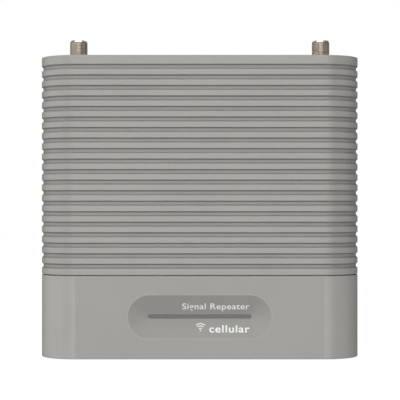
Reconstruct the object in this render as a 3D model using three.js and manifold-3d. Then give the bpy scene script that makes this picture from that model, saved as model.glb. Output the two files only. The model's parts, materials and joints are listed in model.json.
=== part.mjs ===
// A cellular signal booster: a ribbed housing over a smooth base band, with two coaxial ports on top.
// Millimetres, +Z up. The origin is at the bottom centre, the front faces -Y and +X is on its right.

import * as THREE from 'three';
import { mergeVertices } from 'three/addons/utils/BufferGeometryUtils.js';
import Module from 'manifold-3d';

const wasm = await Module();
wasm.setup();

// ---------------------------------------------------------------- driving dimensions

const GAP = 0.3; // clearance between two pieces that touch on the real object

const WIDTH = 171;
const DEPTH = 40;
const BODY_HEIGHT = 161;
const CORNER_RADIUS = 19.6;
const FOOT_PROUD = 0.5;
const BODY_TOP = FOOT_PROUD + BODY_HEIGHT;
const FRONT_Y = -DEPTH / 2;
const BACK_Y = DEPTH / 2;

// The seam between the ribbed housing and the base, measured down from the top.
const SEAM_DROP = 116.7;
const SEAM_GAP = 0.5;
const SEAM_Z = BODY_TOP - SEAM_DROP;
const BASE_TOP = SEAM_Z - SEAM_GAP / 2;
const HOUSING_BOTTOM = SEAM_Z + SEAM_GAP / 2;
const SEAM_CHAMFER = 0.3;

// Grooves run all the way round the housing, with sloping flanks.
const GROOVE_COUNT = 20;
const GROOVE_PITCH = 5.56;
const GROOVE_FIRST_DROP = 4.6;
const GROOVE_OPENING = 2.88;
const GROOVE_DEPTH = 0.85;
const FLANK_HEIGHT = 0.77;
const RIB_ROOT = 1.12; // how far a rib's flanks run into the core, as a share of the groove depth

// The upper edge of a groove, and the middle of the rib above it. Groove 0 is the uppermost.
function grooveTop(number) {
  return BODY_TOP - GROOVE_FIRST_DROP - number * GROOVE_PITCH;
}

function ribCentre(number) {
  return grooveTop(number) + (GROOVE_PITCH - GROOVE_OPENING) / 2;
}

const HOUSING_WALL = 2.6;
const CAVITY_TOP = BODY_TOP - HOUSING_WALL;

// Base band, a cup with a tongue that stands inside the ribbed housing.
const BASE_WALL = 2.4;
const BASE_FLOOR_TOP = 4;
const BASE_EDGE = 1;
const TONGUE_ROOT_Z = 38;
const TONGUE_WALL = 1.3;
const TONGUE_RISE = 4;
const TONGUE_INSET = HOUSING_WALL + GAP;

// The sunken stadium in the front of the base, with the light bar along its valley.
const RECESS_Z = FOOT_PROUD + 22.4;
const RECESS_RADIUS = 11.45;
const RECESS_HALF_STRAIGHT = 26.5;
const RECESS_DEPTH = 3.6;
const SLOT_LENGTH = 55;
const SLOT_HEIGHT = 1.9;
const RECESS_PAD = { width: 84, height: 28, back: FRONT_Y + 6.1 };
const LIGHT_BAR_FRONT = FRONT_Y + 3.5;
const LIGHT_FLANGE = { width: 62, height: 5.2, thickness: 1.6 };

// Feet, and the base screws above them.
const FOOT_RADIUS = 5;
const FOOT_THICKNESS = 1.8;
const FOOT_X = 62;
const FOOT_Y = 10;
const POST_RADIUS = 4.2;
const POST_TOP = SEAM_Z + TONGUE_RISE + 0.4;
const SCREW_SEAT_Z = 33;
const SCREW_WELL_RADIUS = 3.2;
const HOUSING_BOSS_TOP = POST_TOP + 11;

// Coaxial ports: a 3/8 inch thread, standing up from the top close to the corner centres.
const PORT_X = 65.6;
const PORT_RADIUS = 9.525 / 2;
const PORT_RISE = 9.6;
const PORT_TOP = BODY_TOP + PORT_RISE;
const PORT_CHAMFER = { in: 0.6, down: 1.2 };
const PORT_BORE = 3.5;
const PORT_FLANGE = { radius: 7.3, height: 3.2 };
const PORT_TAIL = { radius: 4.2, bottom: 149.3, floor: 2.5 };
const CONTACT = { radius: 0.45, bottom: 143, drop: 3, clearance: 0.9 };

// Power inlet: a barrel jack for a 5.5 mm plug, flush with the top.
const JACK_NOSE_RADIUS = 4.6;
const JACK_BORE = 3.15;
const JACK_PIN_RADIUS = 1;
const JACK_BLOCK = { width: 9.4, depth: 10, bottom: 142.5, top: 156.5 };
const JACK_BORE_BOTTOM = 148.5;

// Main board, standing just behind the port axes.
const BOARD = { front: 0.8, back: 2.4, halfWidth: 71, bottom: 54, top: 149 };
const BOARD_NOTCH = { halfWidth: 7.5, bottom: 141.5 };
const BOARD_SCREW_X = 52.5;
const BOARD_SCREW_Z = [82, 126];

// Heat spreader behind the board, and the rear plate that it is screwed to. The plate lies in a
// flat land, from the middle of one rib to the middle of another, where the grooves stop.
const SPREADER = { front: 6, back: 8.5, halfWidth: 57, bottom: 62, top: 149 };
const REAR_LAND_WIDTH = 120;
const REAR_LAND_TOP = ribCentre(1);
const REAR_LAND_BOTTOM = ribCentre(18);
const REAR_CENTRE_Z = (REAR_LAND_TOP + REAR_LAND_BOTTOM) / 2;
const REAR_PLATE = { width: 112, height: 88, front: 17.3, corner: 4 };
const REAR_LEDGE = { front: 14.8, halfWidth: 46.5, halfHeight: 34.5 };
const REAR_SCREW_X = 50.5;
const REAR_SCREW_DZ = 38.5;
const REAR_SEAT_Y = BACK_Y - 1.5;
const KEYHOLE = { x: 38, z: 120, radius: 4.25, slotRadius: 2.2, rise: 8 };
const LABEL = { width: 62, height: 36, z: 85, pocket: 0.6, thickness: 0.2 };

// Indicator board in the base.
const LED_BOARD = { front: -10, back: -8.8, halfWidth: 41, height: 20 };
const LED_SCREW_X = 37;
const LED = { halfWidth: 1.6, halfHeight: 1.4, depth: 1 };
const LED_COUNT = 4;
const LED_PITCH = 14;

// Screws, as head radius and height, shank radius and length.
const M3 = { clearance: 1.8, shank: 1.5 };
const M2 = { clearance: 1.4, shank: 1.1 };
const BASE_SCREW = { head: 2.75, headHeight: 2.2, shank: M3.shank, length: 23 };
const REAR_SCREW = { head: 2.9, headHeight: 1.1, shank: M3.shank, length: 9 };
const BOARD_SCREW = { head: 2.75, headHeight: 1.8, shank: M3.shank, length: 6.5 };
const LED_SCREW = { head: 2, headHeight: 1.4, shank: M2.shank, length: 4.6 };

// What the main board carries. A size is its width, height and depth.
const CAN_WALL = 0.5;
const RADIO = { x: 30, can: [32, 48, 5], canZ: 115 };
const AMPLIFIER = { size: [9, 9, 1.5], z: 106, padHalf: 11 };
const DUPLEXER = { size: [18, 8, 3.2], z: 127 };
const CONTROL = { z: 75, can: [60, 24, 4], chip: [12, 12, 1.4], chipX: -8 };
const INDUCTOR = { size: [8, 7.4, 4], x: 20, z: 144.4 };
const CAPACITOR = { radius: 4, length: 9, x: -20, z: 144.6 };

// The flat cable from the indicator board to the main board, and its two connectors.
const FLEX = { thickness: 0.4, width: 10, bend: 12, steps: 14 };
const CONNECTOR = { halfWidth: 6, height: 4, front: 1.2, behind: 1 };

// ---------------------------------------------------------------- materials

function material(color, roughness, metalness = 0) {
  return new THREE.MeshStandardMaterial({ color, roughness, metalness });
}

const GREY_PAINT = material(0xa5a3a0, 0.6);
const GREY_PLASTIC = material(0xa3a19d, 0.65);
const SMOKED_DIFFUSER = material(0x70706c, 0.4);
const NICKEL = material(0xb0a89a, 0.3, 1);
const STEEL = material(0x8c8c8c, 0.35, 1);
const TINPLATE = material(0xc4c4c0, 0.35, 1);
const BARE_ALUMINIUM = material(0xb8babb, 0.45, 1);
const GOLD_CONTACT = material(0xc9a24b, 0.3, 1);
const WHITE_INSULATOR = material(0xe6e2d6, 0.5);
const BLACK_PLASTIC = material(0x1c1c1e, 0.5);
const RUBBER = material(0x2a2a2a, 0.9);
const GREEN_BOARD = material(0x1f5a36, 0.45);
const WHITE_BOARD = material(0xe4e5e0, 0.5);
const CHIP = material(0x222224, 0.5);
const CERAMIC = material(0xd8d2c4, 0.5);
const FERRITE = material(0x3a3836, 0.7);
const PAD_BLUE = material(0x7f93a8, 0.9);
const LED_BODY = material(0xf2eecb, 0.3);
const LABEL_STOCK = material(0xdfe0e0, 0.6);
const FLAT_CABLE = material(0xe8e8e4, 0.4);

// ---------------------------------------------------------------- solid helpers

// A closed three.js geometry as a solid that can be joined and cut.
function solid(geometry) {
  const bare = geometry.clone();
  bare.deleteAttribute('normal');
  bare.deleteAttribute('uv');
  const merged = mergeVertices(bare);
  const corners = merged.index.array;
  const kept = [];
  for (let i = 0; i < corners.length; i += 3) {
    const [a, b, c] = [corners[i], corners[i + 1], corners[i + 2]];
    if (a !== b && b !== c && c !== a) kept.push(a, b, c);
  }
  const mesh = new wasm.Mesh({
    numProp: 3,
    vertProperties: new Float32Array(merged.attributes.position.array),
    triVerts: new Uint32Array(kept),
  });
  return new wasm.Manifold(mesh);
}

function geometryOf(body) {
  const mesh = body.getMesh();
  const geometry = new THREE.BufferGeometry();
  geometry.setAttribute('position', new THREE.BufferAttribute(mesh.vertProperties, 3));
  geometry.setIndex(new THREE.BufferAttribute(mesh.triVerts, 1));
  geometry.computeVertexNormals();
  return geometry;
}

function join(...bodies) {
  return bodies.reduce((all, next) => all.add(next));
}

function cut(body, ...tools) {
  return tools.reduce((rest, tool) => rest.subtract(tool), body);
}

// ---------------------------------------------------------------- shapes

const QUARTER = Math.PI / 2;

function roundedRect(width, height, radius) {
  const x = width / 2 - radius;
  const y = height / 2 - radius;
  const shape = new THREE.Shape();
  shape.absarc(x, -y, radius, -QUARTER, 0);
  shape.absarc(x, y, radius, 0, QUARTER);
  shape.absarc(-x, y, radius, QUARTER, 2 * QUARTER);
  shape.absarc(-x, -y, radius, 2 * QUARTER, 3 * QUARTER);
  shape.closePath();
  return shape;
}

// The booster's outline seen from above, inset from the outer face.
function outline(inset) {
  return roundedRect(WIDTH - 2 * inset, DEPTH - 2 * inset, CORNER_RADIUS - inset);
}

// A shape in the XY plane, standing from bottom to top.
function upright(shape, bottom, top, segments = 3) {
  const options = { depth: top - bottom, bevelEnabled: false, curveSegments: segments };
  return solid(new THREE.ExtrudeGeometry(shape, options).translate(0, 0, bottom));
}

// The same with a chamfer on both ends, inside the given heights.
function chamfered(shape, bottom, top, chamferHeight, chamferIn) {
  const options = {
    depth: top - bottom - 2 * chamferHeight,
    bevelEnabled: true,
    bevelSegments: 1,
    bevelThickness: chamferHeight,
    bevelSize: chamferIn,
    bevelOffset: -chamferIn,
    curveSegments: 3,
  };
  const geometry = new THREE.ExtrudeGeometry(shape, options);
  return solid(geometry.translate(0, 0, bottom + chamferHeight));
}

// A shape drawn in the XZ plane, thick from front to back along Y.
function plate(shape, front, back, segments = 4) {
  const options = { depth: back - front, bevelEnabled: false, curveSegments: segments };
  const geometry = new THREE.ExtrudeGeometry(shape, options);
  return solid(geometry.rotateX(QUARTER).translate(0, back, 0));
}

// A shape drawn in the YZ plane, centred along X.
function alongX(shape, length) {
  const geometry = new THREE.ExtrudeGeometry(shape, { depth: length, bevelEnabled: false });
  const axes = new THREE.Matrix4().makeBasis(
    new THREE.Vector3(0, 1, 0),
    new THREE.Vector3(0, 0, 1),
    new THREE.Vector3(1, 0, 0),
  );
  return solid(geometry.translate(0, 0, -length / 2).applyMatrix4(axes));
}

function box(x0, x1, y0, y1, z0, z1) {
  const geometry = new THREE.BoxGeometry(x1 - x0, y1 - y0, z1 - z0);
  return solid(geometry.translate((x0 + x1) / 2, (y0 + y1) / 2, (z0 + z1) / 2));
}

// A profile of [radius, height] points turned about Z. It runs from the axis at the bottom to the
// axis at the top, or closes on itself.
function turned(profile, segments = 20) {
  const points = profile.map(([radius, height]) => new THREE.Vector2(radius, height));
  return solid(new THREE.LatheGeometry(points, segments).rotateX(QUARTER));
}

// The same turned about Y, with [radius, y] points running towards +Y.
function turnedAlongY(profile, segments = 14) {
  const points = profile.map(([radius, y]) => new THREE.Vector2(radius, y));
  return solid(new THREE.LatheGeometry(points, segments));
}

function rod(radius, bottom, top, segments = 20) {
  return turned([[0, bottom], [radius, bottom], [radius, top], [0, top]], segments);
}

function rodAlongY(radius, front, back, segments = 14) {
  return turnedAlongY([[0, front], [radius, front], [radius, back], [0, back]], segments);
}

function tube(inner, outer, bottom, top, segments = 20) {
  const loop = [[inner, bottom], [outer, bottom], [outer, top], [inner, top], [inner, bottom]];
  return turned(loop, segments);
}

const SIDES = [-1, 1];

// The four places at plus and minus a and b.
function fourPlaces(a, b) {
  return SIDES.flatMap((right) => SIDES.map((back) => [right * a, back * b]));
}

// ---------------------------------------------------------------- the object

const group = new THREE.Group();

function add(name, body, surface, position = [0, 0, 0]) {
  const mesh = new THREE.Mesh(geometryOf(body), surface);
  mesh.name = name;
  mesh.position.set(...position);
  group.add(mesh);
}

// One rib from bottom to top, as wide as the housing, with flanks that end inside the core.
function rib(bottom, top) {
  const flank = FLANK_HEIGHT * RIB_ROOT;
  return chamfered(outline(0), bottom - flank, top + flank, flank, GROOVE_DEPTH * RIB_ROOT);
}

function ribbedShell() {
  const core = upright(outline(GROOVE_DEPTH), HOUSING_BOTTOM + 1, BODY_TOP - 1);
  const topBand = rib(grooveTop(0), BODY_TOP - FLANK_HEIGHT * RIB_ROOT);
  const bands = [core, topBand];
  for (let number = 1; number < GROOVE_COUNT; number += 1) {
    bands.push(rib(grooveTop(number), grooveTop(number - 1) - GROOVE_OPENING));
  }
  const lastTop = grooveTop(GROOVE_COUNT - 1) - GROOVE_OPENING;
  const middle = (HOUSING_BOTTOM + lastTop) / 2;
  bands.push(rib(middle, lastTop));
  bands.push(chamfered(outline(0), HOUSING_BOTTOM, middle + 1, SEAM_CHAMFER, SEAM_CHAMFER));
  return join(...bands);
}

function rearRect(width, height, corner, front, back) {
  const shape = roundedRect(width, height, corner);
  return plate(shape, front, back, 2).translate(0, 0, REAR_CENTRE_Z);
}

function ribbedHousing() {
  const window = GAP + 0.05;
  const cavity = upright(outline(HOUSING_WALL), HOUSING_BOTTOM - 1, CAVITY_TOP);
  const landEdge = REAR_LAND_WIDTH / 2;
  const land = box(-landEdge, landEdge, REAR_LEDGE.front, BACK_Y, REAR_LAND_BOTTOM, REAR_LAND_TOP);
  let body = cut(ribbedShell(), cavity);
  body = join(body, land);
  body = cut(
    body,
    rearRect(
      REAR_PLATE.width + 2 * window,
      REAR_PLATE.height + 2 * window,
      REAR_PLATE.corner + window,
      REAR_PLATE.front - GAP,
      BACK_Y + 1,
    ),
    rearRect(2 * REAR_LEDGE.halfWidth, 2 * REAR_LEDGE.halfHeight, 3, REAR_LEDGE.front - 1, BACK_Y),
  );
  for (const [x, dz] of fourPlaces(REAR_SCREW_X, REAR_SCREW_DZ)) {
    const hole = rodAlongY(M3.clearance, REAR_LEDGE.front - 1, BACK_Y);
    body = cut(body, hole.translate(x, 0, REAR_CENTRE_Z + dz));
  }
  for (const [x, y] of fourPlaces(FOOT_X, FOOT_Y)) {
    const wall = Math.sign(y) * (DEPTH / 2 - HOUSING_WALL / 2);
    const bossBottom = POST_TOP + GAP;
    const web = box(x - 2.5, x + 2.5, Math.min(y, wall), Math.max(y, wall), bossBottom, HOUSING_BOSS_TOP);
    const boss = rod(POST_RADIUS, bossBottom, HOUSING_BOSS_TOP, 14).translate(x, y, 0);
    const hole = rod(M3.clearance, bossBottom - 1, HOUSING_BOSS_TOP - 2, 10).translate(x, y, 0);
    body = cut(join(body, web, boss), hole);
  }
  for (const side of SIDES) {
    const hole = rod(PORT_RADIUS + GAP, CAVITY_TOP - 1, BODY_TOP + 1, 24);
    body = cut(body, hole.translate(side * PORT_X, 0, 0));
  }
  return cut(body, rod(JACK_NOSE_RADIUS + GAP, CAVITY_TOP - 1, BODY_TOP + 1, 24));
}

// A valley with flat slopes and conical ends, cut from in front of the base.
function recessTool() {
  const inFront = 0.5;
  const scale = (RECESS_DEPTH + inFront) / RECESS_DEPTH;
  const mouth = RECESS_RADIUS * scale;
  const apex = FRONT_Y + RECESS_DEPTH;
  const section = new THREE.Shape([
    new THREE.Vector2(FRONT_Y - inFront, -mouth),
    new THREE.Vector2(apex, 0),
    new THREE.Vector2(FRONT_Y - inFront, mouth),
  ]);
  const valley = alongX(section, 2 * RECESS_HALF_STRAIGHT);
  const cone = turnedAlongY([[0, FRONT_Y - inFront], [mouth, FRONT_Y - inFront], [0, apex]], 32);
  const ends = SIDES.map((side) => cone.translate(side * RECESS_HALF_STRAIGHT, 0, 0));
  return join(valley, ...ends).translate(0, 0, RECESS_Z);
}

function stadium(length, height) {
  return roundedRect(length, height, height / 2 - 0.001);
}

function baseHousing() {
  const outer = join(
    chamfered(outline(0), FOOT_PROUD, BASE_TOP - 10, BASE_EDGE, BASE_EDGE),
    chamfered(outline(0), BASE_TOP - 20, BASE_TOP, SEAM_CHAMFER, SEAM_CHAMFER),
    upright(outline(TONGUE_INSET), TONGUE_ROOT_Z, SEAM_Z + TONGUE_RISE),
  );
  let body = cut(
    outer,
    upright(outline(BASE_WALL), BASE_FLOOR_TOP, TONGUE_ROOT_Z),
    upright(outline(TONGUE_INSET + TONGUE_WALL), TONGUE_ROOT_Z - 1, SEAM_Z + TONGUE_RISE + 1),
  );
  const padShape = roundedRect(RECESS_PAD.width, RECESS_PAD.height, 3);
  const slot = plate(stadium(SLOT_LENGTH, SLOT_HEIGHT), FRONT_Y + 1, RECESS_PAD.back + 1, 3);
  body = join(body, plate(padShape, FRONT_Y + BASE_WALL / 2, RECESS_PAD.back, 1).translate(0, 0, RECESS_Z));
  body = cut(body, recessTool(), slot.translate(0, 0, RECESS_Z));
  for (const side of SIDES) {
    const post = rodAlongY(2.8, RECESS_PAD.back - 1, LED_BOARD.front - GAP);
    const hole = rodAlongY(M2.clearance, RECESS_PAD.back - 0.3, LED_BOARD.front, 10);
    const x = side * LED_SCREW_X;
    body = cut(join(body, post.translate(x, 0, RECESS_Z)), hole.translate(x, 0, RECESS_Z));
  }
  for (const [x, y] of fourPlaces(FOOT_X, FOOT_Y)) {
    const post = rod(POST_RADIUS, BASE_FLOOR_TOP - 1, POST_TOP, 14);
    const wellProfile = [
      [0, 0],
      [FOOT_RADIUS + GAP, 0],
      [FOOT_RADIUS + GAP, FOOT_THICKNESS + GAP],
      [SCREW_WELL_RADIUS, FOOT_THICKNESS + GAP],
      [SCREW_WELL_RADIUS, SCREW_SEAT_Z],
      [M3.clearance, SCREW_SEAT_Z],
      [M3.clearance, POST_TOP + 1],
      [0, POST_TOP + 1],
    ];
    body = join(body, post.translate(x, y, 0));
    body = cut(body, turned(wellProfile, 14).translate(x, y, 0));
  }
  return body;
}

// A pan-head screw standing on its tip, head upwards, with a round drive socket.
function screwProfile({ head, headHeight, shank, length }) {
  const socket = head * 0.45;
  const socketFloor = headHeight * 0.4;
  return [
    [0, -length],
    [shank, -length],
    [shank, 0],
    [head, 0],
    [head, headHeight],
    [socket, headHeight],
    [socket, socketFloor],
    [0, socketFloor],
  ];
}

function addHousings() {
  add('ribbed_housing', ribbedHousing(), GREY_PAINT);
  add('base_housing', baseHousing(), GREY_PLASTIC);
  const names = ['foot_front_left', 'foot_rear_left', 'foot_front_right', 'foot_rear_right'];
  const screwNames = names.map((name) => name.replace('foot', 'base_screw'));
  const foot = rod(FOOT_RADIUS, 0, FOOT_THICKNESS, 20);
  const screw = turned(screwProfile(BASE_SCREW), 12).rotate([180, 0, 0]);
  fourPlaces(FOOT_X, FOOT_Y).forEach(([x, y], index) => {
    add(names[index], foot, RUBBER, [x, y, 0]);
    add(screwNames[index], screw, STEEL, [x, y, SCREW_SEAT_Z - GAP]);
  });
}

function keyhole() {
  const half = Math.asin(KEYHOLE.slotRadius / KEYHOLE.radius);
  const shape = new THREE.Shape();
  shape.absarc(0, 0, KEYHOLE.radius, QUARTER + half, QUARTER - half + 4 * QUARTER);
  shape.absarc(0, KEYHOLE.rise, KEYHOLE.slotRadius, 0, 2 * QUARTER);
  shape.closePath();
  return plate(shape, REAR_PLATE.front - 1, BACK_Y + 1, 6);
}

function addRear() {
  let body = rearRect(REAR_PLATE.width, REAR_PLATE.height, REAR_PLATE.corner, REAR_PLATE.front, BACK_Y);
  for (const side of SIDES) {
    body = cut(body, keyhole().translate(side * KEYHOLE.x, 0, KEYHOLE.z));
  }
  const pocketShape = roundedRect(LABEL.width + 2 * GAP, LABEL.height + 2 * GAP, 2);
  const pocket = plate(pocketShape, BACK_Y - LABEL.pocket, BACK_Y + 1, 1);
  body = cut(body, pocket.translate(0, 0, LABEL.z));
  const seat = turnedAlongY([
    [0, REAR_PLATE.front - 1],
    [M3.clearance, REAR_PLATE.front - 1],
    [M3.clearance, REAR_SEAT_Y],
    [3.2, REAR_SEAT_Y],
    [3.2, BACK_Y + 1],
    [0, BACK_Y + 1],
  ]);
  const screw = turnedAlongY(screwProfile(REAR_SCREW), 12);
  const names = ['lower_left', 'upper_left', 'lower_right', 'upper_right'];
  fourPlaces(REAR_SCREW_X, REAR_SCREW_DZ).forEach(([x, dz], index) => {
    const z = REAR_CENTRE_Z + dz;
    body = cut(body, seat.translate(x, 0, z));
    add(`rear_screw_${names[index]}`, screw, STEEL, [x, REAR_SEAT_Y + GAP, z]);
  });
  add('rear_plate', body, GREY_PAINT);
  const labelFront = BACK_Y - LABEL.pocket + GAP;
  const labelShape = roundedRect(LABEL.width, LABEL.height, 1.5);
  const label = plate(labelShape, labelFront, labelFront + LABEL.thickness, 1);
  add('rear_label', label, LABEL_STOCK, [0, 0, LABEL.z]);
}

// ---------------------------------------------------------------- indicator light

function addIndicator() {
  const barLength = SLOT_LENGTH - 2 * GAP;
  const barHeight = SLOT_HEIGHT - 2 * GAP;
  const flangeFront = RECESS_PAD.back + GAP;
  const flangeBack = flangeFront + LIGHT_FLANGE.thickness;
  const bar = plate(stadium(barLength, barHeight), LIGHT_BAR_FRONT, flangeFront + 0.5, 3);
  const flange = plate(roundedRect(LIGHT_FLANGE.width, LIGHT_FLANGE.height, 1), flangeFront, flangeBack, 1);
  add('light_bar', join(bar, flange), SMOKED_DIFFUSER, [0, 0, RECESS_Z]);

  let board = box(
    -LED_BOARD.halfWidth, LED_BOARD.halfWidth,
    LED_BOARD.front, LED_BOARD.back,
    -LED_BOARD.height / 2, LED_BOARD.height / 2,
  );
  const screw = turnedAlongY(screwProfile(LED_SCREW), 10);
  SIDES.forEach((side, index) => {
    const x = side * LED_SCREW_X;
    const hole = rodAlongY(M2.clearance, LED_BOARD.front - 1, LED_BOARD.back + 1, 10);
    board = cut(board, hole.translate(x, 0, 0));
    add(`led_board_screw_${['left', 'right'][index]}`, screw, STEEL, [x, LED_BOARD.back + GAP, RECESS_Z]);
  });
  add('led_board', board, WHITE_BOARD, [0, 0, RECESS_Z]);

  const ledBack = LED_BOARD.front - GAP;
  const { halfWidth, halfHeight, depth } = LED;
  const led = box(-halfWidth, halfWidth, ledBack - depth, ledBack, -halfHeight, halfHeight);
  for (let number = 0; number < LED_COUNT; number += 1) {
    const x = (number - (LED_COUNT - 1) / 2) * LED_PITCH;
    add(`led_${number + 1}`, led, LED_BODY, [x, 0, RECESS_Z]);
  }
}

// A thin flat ribbon along a curve in the YZ plane.
function ribbon(curve, thickness, width, steps) {
  const near = [];
  const far = [];
  for (let step = 0; step <= steps; step += 1) {
    const point = curve.getPoint(step / steps);
    const along = curve.getTangent(step / steps);
    const across = new THREE.Vector2(-along.y, along.x).multiplyScalar(thickness / 2);
    near.push(point.clone().sub(across));
    far.unshift(point.clone().add(across));
  }
  return alongX(new THREE.Shape([...near, ...far]), width);
}

function addFlatCable() {
  const { halfWidth, height, front, behind } = CONNECTOR;
  const lowerFront = LED_BOARD.back + GAP;
  const lowerY = lowerFront + behind;
  const lowerTop = RECESS_Z + LED_BOARD.height / 2 - 2;
  const upperBack = BOARD.front - GAP;
  const upperY = upperBack - front;
  const upperBottom = BOARD.bottom + 2;
  const lower = box(-halfWidth, halfWidth, lowerFront, lowerY + behind, lowerTop - height, lowerTop);
  const upper = box(-halfWidth, halfWidth, upperY - front, upperBack, upperBottom, upperBottom + height);
  add('led_board_connector', lower, WHITE_INSULATOR);
  add('main_board_connector', upper, WHITE_INSULATOR);
  const start = new THREE.Vector2(lowerY, lowerTop + GAP);
  const end = new THREE.Vector2(upperY, upperBottom - GAP);
  const curve = new THREE.CubicBezierCurve(
    start,
    new THREE.Vector2(start.x, start.y + FLEX.bend),
    new THREE.Vector2(end.x, end.y - FLEX.bend),
    end,
  );
  add('led_flat_cable', ribbon(curve, FLEX.thickness, FLEX.width, FLEX.steps), FLAT_CABLE);
}

// ---------------------------------------------------------------- main board and heat spreader

function addMainBoard() {
  let board = box(-BOARD.halfWidth, BOARD.halfWidth, BOARD.front, BOARD.back, BOARD.bottom, BOARD.top);
  const notch = box(
    -BOARD_NOTCH.halfWidth, BOARD_NOTCH.halfWidth,
    BOARD.front - 1, BOARD.back + 1,
    BOARD_NOTCH.bottom, BOARD.top + 1,
  );
  board = cut(board, notch);

  let spreader = box(
    -SPREADER.halfWidth, SPREADER.halfWidth,
    SPREADER.front, SPREADER.back,
    SPREADER.bottom, SPREADER.top,
  );
  // Facing -Y, the board screws' heads are in front of the board.
  const boardScrew = turnedAlongY(screwProfile(BOARD_SCREW), 10).rotate([180, 0, 0]);
  const heights = ['lower', 'upper'];
  const sideNames = ['left', 'right'];
  SIDES.forEach((side, sideIndex) => {
    BOARD_SCREW_Z.forEach((z, heightIndex) => {
      const x = side * BOARD_SCREW_X;
      const standoff = rodAlongY(3.2, BOARD.back + GAP, SPREADER.front + 1).translate(x, 0, z);
      const hole = rodAlongY(M3.clearance, BOARD.front - 1, SPREADER.back + 1, 10).translate(x, 0, z);
      board = cut(board, hole);
      spreader = cut(join(spreader, standoff), hole);
      const name = `board_screw_${heights[heightIndex]}_${sideNames[sideIndex]}`;
      add(name, boardScrew, STEEL, [x, BOARD.front - GAP, z]);
    });
  });
  for (const [x, dz] of fourPlaces(REAR_SCREW_X, REAR_SCREW_DZ)) {
    const z = REAR_CENTRE_Z + dz;
    const boss = rodAlongY(3.6, SPREADER.back - 1, REAR_LEDGE.front - GAP).translate(x, 0, z);
    const hole = rodAlongY(M3.clearance, SPREADER.back, REAR_LEDGE.front, 10).translate(x, 0, z);
    spreader = cut(join(spreader, boss), hole);
  }
  add('main_board', board, GREEN_BOARD);
  add('heat_spreader', spreader, BARE_ALUMINIUM);
}

// A five-sided can, open towards the board.
function shieldCan(width, height, depth) {
  const back = BOARD.front - GAP;
  const outer = box(-width / 2, width / 2, back - depth, back, -height / 2, height / 2);
  const inner = box(
    -width / 2 + CAN_WALL, width / 2 - CAN_WALL,
    back - depth + CAN_WALL, back + 1,
    -height / 2 + CAN_WALL, height / 2 - CAN_WALL,
  );
  return cut(outer, inner);
}

// A flat component on the front of the board.
function component(width, height, depth) {
  const back = BOARD.front - GAP;
  return box(-width / 2, width / 2, back - depth, back, -height / 2, height / 2);
}

function addBoardParts() {
  const half = AMPLIFIER.padHalf;
  const sides = [['outdoor', -RADIO.x], ['indoor', RADIO.x]];
  for (const [name, x] of sides) {
    add(`${name}_shield_can`, shieldCan(...RADIO.can), TINPLATE, [x, 0, RADIO.canZ]);
    add(`${name}_amplifier`, component(...AMPLIFIER.size), CHIP, [x, 0, AMPLIFIER.z]);
    add(`${name}_duplexer`, component(...DUPLEXER.size), CERAMIC, [x, 0, DUPLEXER.z]);
    const pad = box(-half, half, BOARD.back + GAP, SPREADER.front - GAP, -half, half);
    add(`${name}_thermal_pad`, pad, PAD_BLUE, [x, 0, AMPLIFIER.z]);
  }
  add('control_shield_can', shieldCan(...CONTROL.can), TINPLATE, [0, 0, CONTROL.z]);
  add('controller_chip', component(...CONTROL.chip), CHIP, [CONTROL.chipX, 0, CONTROL.z]);
  add('supply_inductor', component(...INDUCTOR.size), FERRITE, [INDUCTOR.x, 0, INDUCTOR.z]);
  const capacitorBack = BOARD.front - GAP;
  const capacitor = rodAlongY(CAPACITOR.radius, capacitorBack - CAPACITOR.length, capacitorBack, 16);
  add('supply_capacitor', capacitor, CHIP, [CAPACITOR.x, 0, CAPACITOR.z]);
}

// ---------------------------------------------------------------- ports and power inlet

function portBarrel() {
  const flangeTop = CAVITY_TOP - GAP;
  const flangeBottom = flangeTop - PORT_FLANGE.height;
  const boreBottom = PORT_TAIL.bottom + PORT_TAIL.floor;
  const contactHole = rod(CONTACT.clearance, PORT_TAIL.bottom - 1, boreBottom + 1, 10);
  const outside = turned([
    [0, PORT_TAIL.bottom],
    [PORT_TAIL.radius, PORT_TAIL.bottom],
    [PORT_TAIL.radius, flangeBottom + 1],
    [PORT_RADIUS, flangeBottom + 1],
    [PORT_RADIUS, PORT_TOP - PORT_CHAMFER.down],
    [PORT_RADIUS - PORT_CHAMFER.in, PORT_TOP],
    [0, PORT_TOP],
  ], 24);
  const hexagon = rod(PORT_FLANGE.radius, flangeBottom, flangeTop, 6);
  const bore = rod(PORT_BORE, boreBottom, PORT_TOP + 1, 20);
  return cut(join(outside, hexagon), bore, contactHole);
}

function addPorts() {
  const insulatorBottom = PORT_TAIL.bottom + PORT_TAIL.floor + GAP;
  const ports = [['outdoor', -PORT_X], ['indoor', PORT_X]];
  for (const [name, x] of ports) {
    add(`${name}_port_barrel`, portBarrel(), NICKEL, [x, 0, 0]);
    const insulator = tube(0.8, PORT_BORE - GAP, insulatorBottom, PORT_TOP - 0.8, 20);
    add(`${name}_port_insulator`, insulator, WHITE_INSULATOR, [x, 0, 0]);
    const contact = rod(CONTACT.radius, CONTACT.bottom, PORT_TOP - CONTACT.drop, 8);
    add(`${name}_port_contact`, contact, GOLD_CONTACT, [x, 0, 0]);
  }
}

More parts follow.
